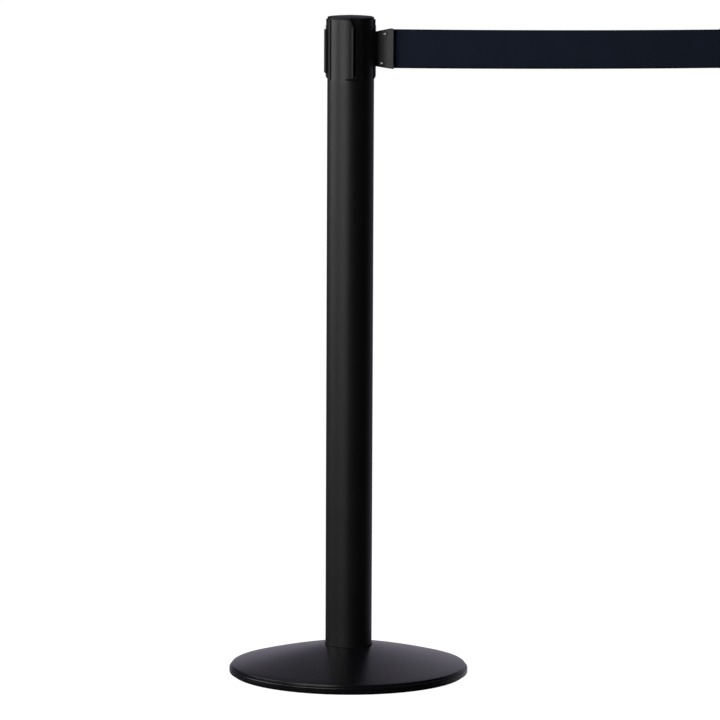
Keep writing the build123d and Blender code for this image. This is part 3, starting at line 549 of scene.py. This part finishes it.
for row in frame["record"]["subparts"]:
    dress(nodes[row["node"]], SLOT_FINISH[row["material_slot"]])
dress(nodes["base_cover"], base_coat)
dress(nodes["head_lid"], lid_plastic)
dress(nodes["receiver_blank"], blank_plastic)
dress(nodes["belt_wound"], wound_cloth)
dress(nodes["belt_run"], run_cloth)
print("dressed", len(nodes), "frame nodes")


# %% [markdown]
# ## Making and keeping a piece
#
# Round pieces start as a closed section that is spun about an axis, the way a lathe or a
# spinning press makes them. Chosen rings of edges are then bevelled, so a corner catches a
# line of light. Keeping a piece means smooth shading with sharp folds, a finish, the body it
# rides on and the frame node that it stands for.

# %% Spin and keep
TOUCH = 0.001 * MM
ROUND_SEGMENTS = 4
FOLD = 35
NO_FOLDS = 180


def spun(section, steps, rounds):
    """Spin a closed section of (radius, height) corners in millimetres about Z.

    rounds lists corners to round, each with its radius in millimetres."""
    shape = bmesh.new()
    corners = [shape.verts.new((radius * MM, 0, z * MM)) for radius, z in section]
    for first, second in zip(corners, corners[1:] + corners[:1]):
        shape.edges.new((first, second))
    bmesh.ops.spin(
        shape,
        geom=shape.verts[:] + shape.edges[:],
        axis=(0, 0, 1),
        cent=(0, 0, 0),
        angle=math.tau,
        steps=steps,
        use_merge=True,
    )
    bmesh.ops.remove_doubles(shape, verts=shape.verts, dist=TOUCH)
    for corner, radius in rounds:
        round_ring(shape, section[corner], radius)
    bmesh.ops.recalc_face_normals(shape, faces=shape.faces)
    return shape


def round_ring(shape, corner, radius):
    """Bevel the ring of edges that one corner of the section has drawn."""
    ring_r, ring_z = corner[0] * MM, corner[1] * MM

    def on_ring(vert):
        level = abs(vert.co.z - ring_z) < TOUCH
        return level and abs(vert.co.xy.length - ring_r) < TOUCH

    ring = [edge for edge in shape.edges if all(on_ring(vert) for vert in edge.verts)]
    bmesh.ops.bevel(
        shape,
        geom=ring,
        offset=radius * MM,
        segments=ROUND_SEGMENTS,
        profile=0.5,
        affect="EDGES",
        material=-1,
    )


def keep(shape, name, finish, body, stands_for, fold=FOLD):
    """Turn a bmesh into a piece of the post; edges that turn by more than fold stay sharp."""
    mesh = bpy.data.meshes.new(name)
    shape.to_mesh(mesh)
    shape.free()
    mesh.shade_smooth()
    mesh.set_sharp_from_angle(angle=math.radians(fold))
    piece = bpy.data.objects.new(name, mesh)
    bpy.context.scene.collection.objects.link(piece)
    dress(piece, finish)
    if body:
        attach(piece, body)
    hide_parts(stands_for)
    print(name, len(mesh.polygons), "faces")
    return piece


# %% [markdown]
# ## The base cover
#
# The cover is one disc of steel, spun over a former: a low dome, a step just inside the edge,
# a rolled bead below the step and a short skirt down to the floor ring. The step and bead are
# what the eye reads as the rim: a black line with a bright line under it.

# %% Base cover
BASE_R = 162.0
HOLE_R = 7.0
DOME_R = 158.9
DOME_EDGE_Z = 13.2
DOME_TOP_Z = 40.0
DOME_FLAT_R = 35.0
DOME_CROWN = 1.7
COVER_T = 1.5
COVER_STEPS = 192


def dome_z(radius):
    share = (DOME_R - radius) / (DOME_R - DOME_FLAT_R)
    straight = DOME_EDGE_Z + (DOME_TOP_Z - DOME_EDGE_Z) * share
    return straight + 4 * DOME_CROWN * share * (1 - share)


dome_radii = [DOME_FLAT_R, 50, 66, 82, 98, 114, 130, 146]
cover_section = [(HOLE_R, DOME_TOP_Z)]
cover_section += [(radius, dome_z(radius)) for radius in dome_radii]
cover_section += [
    (DOME_R, DOME_EDGE_Z),
    (159.2, 10.2),
    (160.0, 9.6),
    (161.0, 9.9),
    (BASE_R, 9.4),
    (BASE_R, 6.6),
    (161.4, 6.1),
    (BASE_R, 5.6),
    (BASE_R, 3.0),
    (BASE_R - COVER_T, 3.0),
    (BASE_R - COVER_T, 8.6),
    (158.0, 9.6),
]
under = reversed(dome_radii)
cover_section += [(radius - COVER_T / 4, dome_z(radius) - COVER_T) for radius in under]
cover_section += [(HOLE_R, DOME_TOP_Z - COVER_T)]
rim_corner = len(dome_radii) + 1
cover_rounds = [
    (rim_corner + 5, 0.3),
    (rim_corner + 4, 0.9),
    (rim_corner + 3, 0.4),
    (rim_corner, 0.5),
    (1, 1.2),
]
cover = spun(cover_section, COVER_STEPS, cover_rounds)
keep(cover, "spun_cover", base_coat, "post", "base_cover")


# %% [markdown]
# ## The floor ring
#
# A rubber ring under the base keeps a floor unscratched. Three grooves in its sole let it
# grip, so its section is a strip with three notches, spun like the cover.

# %% Floor ring
RING_IN_R = 146.5
RING_OUT_R = 157.5
RING_H = 3.0
GROOVE_W = 1.2
GROOVE_DEEP = 0.9
GROOVES_AT = (0.25, 0.5, 0.75)
RING_STEPS = 144
RING_EDGE_ROUND = 0.4

ring_section = [(RING_OUT_R, 0.0), (RING_OUT_R, RING_H), (RING_IN_R, RING_H), (RING_IN_R, 0.0)]
for share in GROOVES_AT:
    middle = RING_IN_R + share * (RING_OUT_R - RING_IN_R)
    ring_section += [
        (middle - GROOVE_W / 2, 0.0),
        (middle - GROOVE_W / 2, GROOVE_DEEP),
        (middle + GROOVE_W / 2, GROOVE_DEEP),
        (middle + GROOVE_W / 2, 0.0),
    ]
floor_pad = spun(ring_section, RING_STEPS, [(1, RING_EDGE_ROUND)])
keep(floor_pad, "grooved_floor_ring", soft_rubber, "post", "floor_ring")


# %% [markdown]
# ## Tubular rivets
#
# The two halves of each belt clip are held by hollow rivets. A rolled lip surrounds a dark
# hole, which is why the rivet shows as a small bright ring. One section is spun about Z,
# mirrored in height, and copied to both places in each of the three clips.

# %% Rivets
RIVET_SECTION = [
    (0.95, 0.0),
    (0.95, 2.7),
    (1.35, 3.1),
    (2.2, 3.05),
    (2.6, 2.6),
    (2.6, 2.0),
    (1.6, 2.0),
    (1.6, 0.0),
]
LIP_ROUNDS = [(3, 0.3), (4, 0.3)]
RIVET_STEPS = 40
RIVETS_FROM_PIN = [(-4.8, 20.0), (-9.1, -19.4)]


def add_rivet(shape, pin, turn, place):
    """One rivet across a clip; turn is the clip's direction in degrees about Z."""
    mirrored = [(radius, -z) for radius, z in reversed(RIVET_SECTION[1:-1])]
    rivet = spun(RIVET_SECTION + mirrored, RIVET_STEPS, LIP_ROUNDS)
    mesh = bpy.data.meshes.new("rivet_copy")
    rivet.to_mesh(mesh)
    rivet.free()
    start = len(shape.verts)
    shape.from_mesh(mesh)
    bpy.data.meshes.remove(mesh)
    shape.verts.ensure_lookup_table()
    along, up = place
    stand = Matrix.Rotation(math.radians(90), 4, "X")
    shift = Matrix.Translation((along * MM, 0, up * MM))
    spin = Matrix.Rotation(math.radians(turn), 4, "Z")
    whole = Matrix.Translation(pin) @ spin @ shift @ stand
    bmesh.ops.transform(shape, matrix=whole, verts=shape.verts[start:])


def middle_of(node):
    low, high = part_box(node)
    return (low + high) / 2


CLIPS = {
    "link_near_clip": (0, "link_belt"),
    "link_far_clip": (180, "link_belt"),
    "own_clip": (-90, "own_belt_end"),
}
for clip, (turn, body) in CLIPS.items():
    shape = bmesh.new()
    for place in RIVETS_FROM_PIN:
        add_rivet(shape, middle_of(clip + "_pin"), turn, place)
    keep(shape, clip + "_tube_rivets", nickel, body, clip + "_rivets")


# %% [markdown]
# ## Set screws
#
# Three hexagon-socket set screws hold the head in the tube, at the back. Each is a short rod
# whose end face is a ring between a circle and a hexagon; the hexagon is pushed in to make
# the socket and the circle is drawn back to make the rod.

# %% Set screws
SCREW_R = 2.0
SCREW_OUT_R = 31.4
SCREW_IN_R = 27.2
SOCKET_R = 1.15
SOCKET_DEEP = 1.6
SCREW_Z = 798.0
SCREW_ANGLES = (30, 90, 150)
SCREW_SEGMENTS = 36


def new_verts(result):
    return [item for item in result["geom"] if isinstance(item, bmesh.types.BMVert)]


def add_set_screw(shape, angle):
    known = set(shape.verts)
    rim = bmesh.ops.create_circle(shape, segments=SCREW_SEGMENTS, radius=SCREW_R * MM)["verts"]
    hexagon = bmesh.ops.create_circle(shape, segments=6, radius=SOCKET_R * MM)["verts"]
    outer = list({edge for vert in rim for edge in vert.link_edges})
    inner = list({edge for vert in hexagon for edge in vert.link_edges})
    bmesh.ops.bridge_loops(shape, edges=outer + inner)
    socket = bmesh.ops.extrude_edge_only(shape, edges=inner)
    bmesh.ops.translate(shape, vec=(0, 0, -SOCKET_DEEP * MM), verts=new_verts(socket))
    bmesh.ops.contextual_create(shape, geom=new_verts(socket))
    rod = bmesh.ops.extrude_edge_only(shape, edges=outer)
    length = (SCREW_OUT_R - SCREW_IN_R) * MM
    bmesh.ops.translate(shape, vec=(0, 0, -length), verts=new_verts(rod))
    bmesh.ops.contextual_create(shape, geom=new_verts(rod))
    fresh = [vert for vert in shape.verts if vert not in known]
    lie = Matrix.Rotation(math.radians(90), 4, "Y")
    out = Matrix.Translation((SCREW_OUT_R * MM, 0, SCREW_Z * MM))
    round_post = Matrix.Rotation(math.radians(angle), 4, "Z")
    bmesh.ops.transform(shape, matrix=round_post @ out @ lie, verts=fresh)


set_screws = bmesh.new()
for angle in SCREW_ANGLES:
    add_set_screw(set_screws, angle)
bmesh.ops.recalc_face_normals(set_screws, faces=set_screws.faces)
keep(set_screws, "socket_set_screws", black_oxide, "post", "head_grub_screws")


# %% [markdown]
# ## The plugged-in belt
#
# The belt runs between two hem pins, one in each clip. It is a grid laid out flat, bent to a
# very shallow hang, with its UV map in metres so the weave keeps its scale. A loop of the same
# cloth goes round each pin, and Solidify gives the sheet its half millimetre.

# %% Link belt
LOOP_R = 1.9 * MM
LINK_SAG = 1.2 * MM
SWAY = 0.5 * MM
SWAY_TURN = 5
BELT_ROWS = 14
LINK_COLUMNS = 220
LOOP_SEGMENTS = 24


def lay_uv(shape, along_of):
    """UV map in metres; along_of gives the two distances of a corner of the belt."""
    uv = shape.loops.layers.uv.verify()
    for face in shape.faces:
        for loop in face.loops:
            loop[uv].uv = along_of(loop.vert.co)


def ribbon(length, columns):
    """Upright grid from x = 0 to length, its lower edge at z = 0."""
    shape = bmesh.new()
    bmesh.ops.create_grid(shape, x_segments=columns, y_segments=BELT_ROWS, size=0.5)
    bmesh.ops.translate(shape, vec=(0.5, 0.5, 0), verts=shape.verts)
    bmesh.ops.scale(shape, vec=(length, BELT_WIDTH, 1), verts=shape.verts)
    upright = Matrix.Rotation(math.pi / 2, 3, "X")
    bmesh.ops.rotate(shape, cent=(0, 0, 0), matrix=upright, verts=shape.verts)
    return shape


def add_loop(shape, x):
    """Cloth round a hem pin that stands at x; its lower edge is at z = 0."""
    known = set(shape.verts)
    circle = bmesh.ops.create_circle(shape, segments=LOOP_SEGMENTS, radius=LOOP_R)["verts"]
    edges = list({edge for vert in circle for edge in vert.link_edges})
    wall = bmesh.ops.extrude_edge_only(shape, edges=edges)
    bmesh.ops.translate(shape, vec=(0, 0, BELT_WIDTH), verts=new_verts(wall))
    fresh = [vert for vert in shape.verts if vert not in known]
    bmesh.ops.translate(shape, vec=(x, 0, 0), verts=fresh)


def thicken(piece):
    """Give a sheet of cloth its thickness, half to each side."""
    wall = piece.modifiers.new("thickness", "SOLIDIFY")
    wall.thickness = BELT_THICKNESS
    wall.offset = 0


near_pin = middle_of("link_near_clip_pin")
far_pin = middle_of("link_far_clip_pin")
free_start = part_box("link_near_clip_front")[1].x
free_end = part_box("link_far_clip_front")[0].x
link_length = far_pin.x - near_pin.x
link = ribbon(link_length - 2 * LOOP_R, LINK_COLUMNS)
bmesh.ops.translate(link, vec=(LOOP_R, 0, 0), verts=link.verts)
add_loop(link, 0)
add_loop(link, link_length)
lay_uv(link, lambda co: (co.x, co.z))
bmesh.ops.translate(link, vec=near_pin - Vector((0, 0, BELT_WIDTH / 2)), verts=link.verts)
for vert in link.verts:
    share = min(max((vert.co.x - free_start) / (free_end - free_start), 0), 1)
    bow = 4 * share * (1 - share)
    vert.co.z += share * (far_pin.z - near_pin.z) - bow * LINK_SAG
    vert.co.y += bow * SWAY * math.sin(SWAY_TURN * share)
link_belt = keep(
    link, "link_belt_webbing", belt_cloth, "link_belt", "link_webbing", NO_FOLDS
)
thicken(link_belt)
print("link belt", round(link_length, 3), "m between its pins")


# %% [markdown]
# ## The post's own belt
#
# The end of the post's own belt is parked: only its clip shows outside the mouth. When the clip
# is pulled, the cloth between mouth and clip has to grow to two metres. Its rows lie close
# together where it crosses from the post to the clip, and its UV map is laid out as it is when
# the belt is fully drawn, so the weave has its true scale then.

# %% Own belt
BELT_PULL = 2.0
CROSSING_ROWS = 160
MOUTH_FACE_Y = 34.3 * MM
CLIP_START_Y = 35.1 * MM
CROSSING_END = 0.79 * MM


def drawn_out(y):
    """How far along the fully drawn belt a point of the parked belt is."""
    share = min(max((y - MOUTH_FACE_Y) / (CLIP_START_Y - MOUTH_FACE_Y), 0), 1)
    return y + BELT_PULL * share * share * (3 - 2 * share)


own_pin = middle_of("own_clip_pin")
crossing = ribbon(CLIP_START_Y - MOUTH_FACE_Y, CROSSING_ROWS)
end = [e for e in crossing.edges if all(v.co.x > CROSSING_END for v in e.verts)]
tail = bmesh.ops.extrude_edge_only(crossing, edges=end)
tail_length = own_pin.y - LOOP_R - CLIP_START_Y
bmesh.ops.translate(crossing, vec=(tail_length, 0, 0), verts=new_verts(tail))
add_loop(crossing, own_pin.y - MOUTH_FACE_Y)
lay_uv(crossing, lambda co: (drawn_out(co.x + MOUTH_FACE_Y), co.z))
to_rear = Matrix.Rotation(math.pi / 2, 4, "Z")
to_mouth = Matrix.Translation((0, MOUTH_FACE_Y, own_pin.z - BELT_WIDTH / 2))
bmesh.ops.transform(crossing, matrix=to_mouth @ to_rear, verts=crossing.verts)
own_belt = keep(
    crossing, "own_belt_webbing", belt_cloth, None, "belt_stretch", NO_FOLDS
)
thicken(own_belt)
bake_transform(own_belt)
print("own belt parked:", round(1000 * (own_pin.y - MOUTH_FACE_Y), 1), "mm outside the mouth")


# %% [markdown]
# ## The floor
#
# The post stands on one large sheet of white paper. It glows almost as brightly as the white
# behind it, so the two meet without a line, and only a breath of shadow is left at the base.
# The paper is a stage and not a part of the post, and the post doesn't mirror it.

# %% Floor
FLOOR_SIDE = 40.0
PAPER_GREY = (0.4, 0.4, 0.4, 1)
PAPER_GLOW = 0.98


def add_floor():
    shape = bmesh.new()
    bmesh.ops.create_grid(shape, x_segments=1, y_segments=1, size=FLOOR_SIDE / 2)
    mesh = bpy.data.meshes.new("floor")
    shape.to_mesh(mesh)
    shape.free()
    floor = bpy.data.objects.new("floor", mesh)
    bpy.context.scene.collection.objects.link(floor)
    paper = Finish("floor_paper", Base_Color=PAPER_GREY, Roughness=0.9)
    paper.shader.inputs["Emission Color"].default_value = (1, 1, 1, 1)
    paper.shader.inputs["Emission Strength"].default_value = PAPER_GLOW
    dress(floor, paper.material)
    floor.visible_glossy = False
    floor.visible_diffuse = False


add_floor()
print("floor laid")
